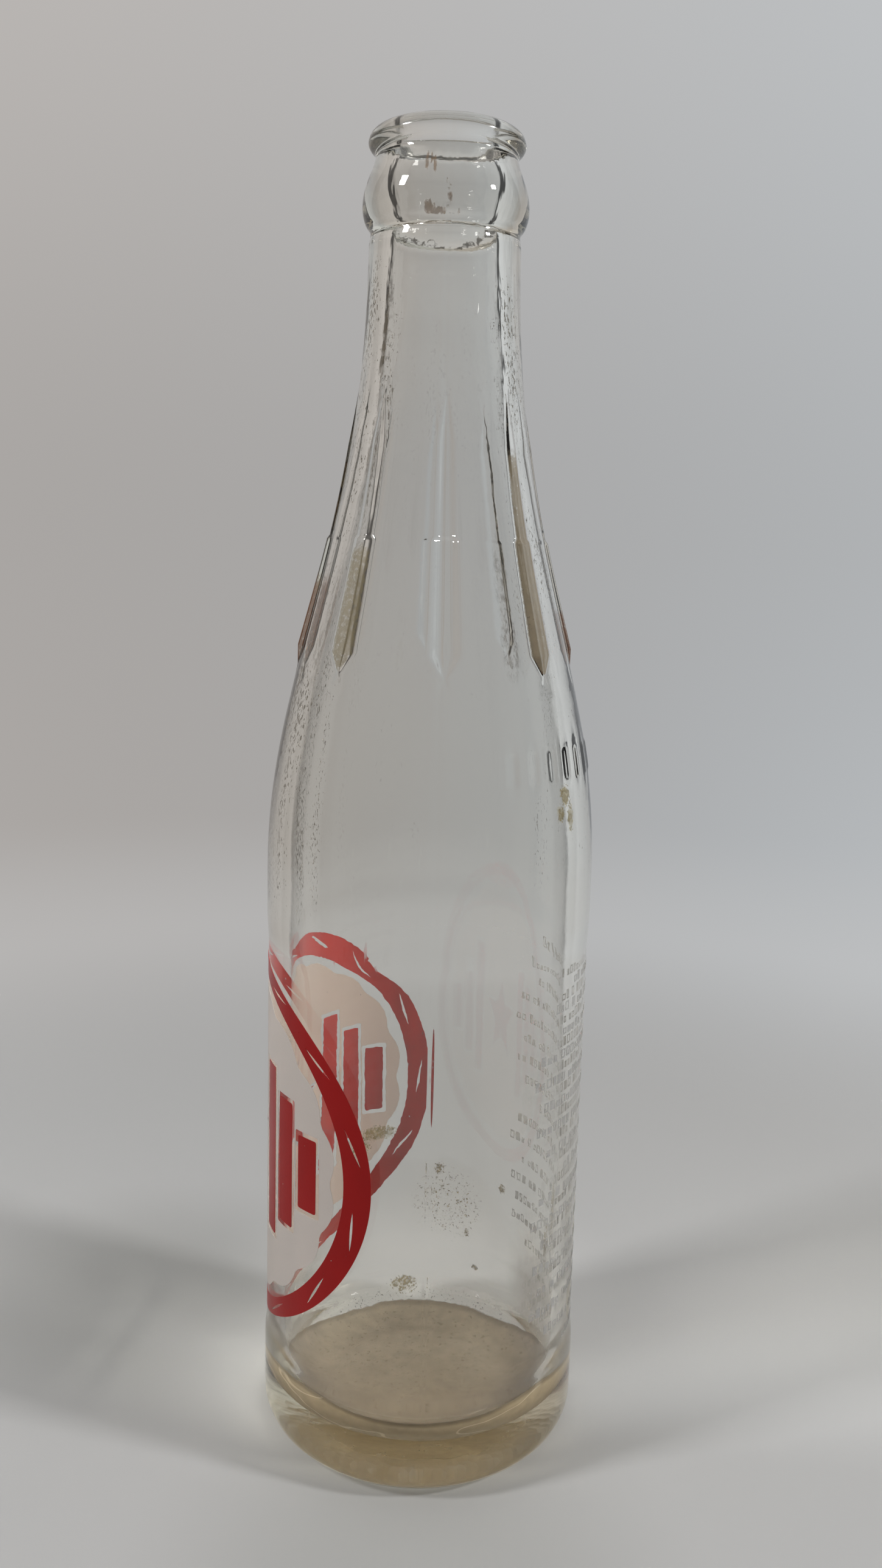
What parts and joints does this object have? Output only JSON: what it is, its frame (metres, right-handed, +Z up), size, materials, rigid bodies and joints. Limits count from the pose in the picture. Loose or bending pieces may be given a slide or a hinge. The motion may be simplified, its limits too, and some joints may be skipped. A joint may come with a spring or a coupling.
{
  "type": "soda bottle",
  "caption": "Clear glass soda bottle with a crown finish, raised pointed shoulder ribs, a recessed label panel, fired enamel prints and a push-up base.",
  "frame": {"origin": "centre of the base ring, on the surface that the bottle stands on", "axes": "+Z up along the bottle's axis to the mouth; -Y towards the picture's camera; the large front print faces -X and the rows of the back print face +X"},
  "size_m": [0.0594, 0.0593, 0.235],
  "materials": {
    "clear_glass": "clear, faintly olive where thick, with a fire-polished surface and light scuffs",
    "red_enamel": "fired red enamel, glossy, lightly worn",
    "white_enamel": "fired white enamel, satin, slightly translucent"
  },
  "bodies": {
    "root": {"glass_bottle": "clear_glass", "red_band": "red_enamel", "red_star": "red_enamel", "red_bar_left_inner": "red_enamel", "red_bar_left_middle": "red_enamel", "red_bar_left_outer": "red_enamel", "red_bar_right_inner": "red_enamel", "red_bar_right_middle": "red_enamel", "red_bar_right_outer": "red_enamel", "white_panel": "white_enamel", "white_line_01": "white_enamel", "white_line_02": "white_enamel", "white_line_03": "white_enamel", "white_line_04": "white_enamel", "white_line_05": "white_enamel", "white_line_06": "white_enamel", "white_line_07": "white_enamel", "white_line_08": "white_enamel", "white_line_09": "white_enamel", "white_line_10": "white_enamel", "white_line_11": "white_enamel", "white_line_12": "white_enamel", "white_line_13": "white_enamel", "white_line_14": "white_enamel", "white_line_15": "white_enamel", "white_line_16": "white_enamel", "white_line_17": "white_enamel"}
  },
  "joints": []
}
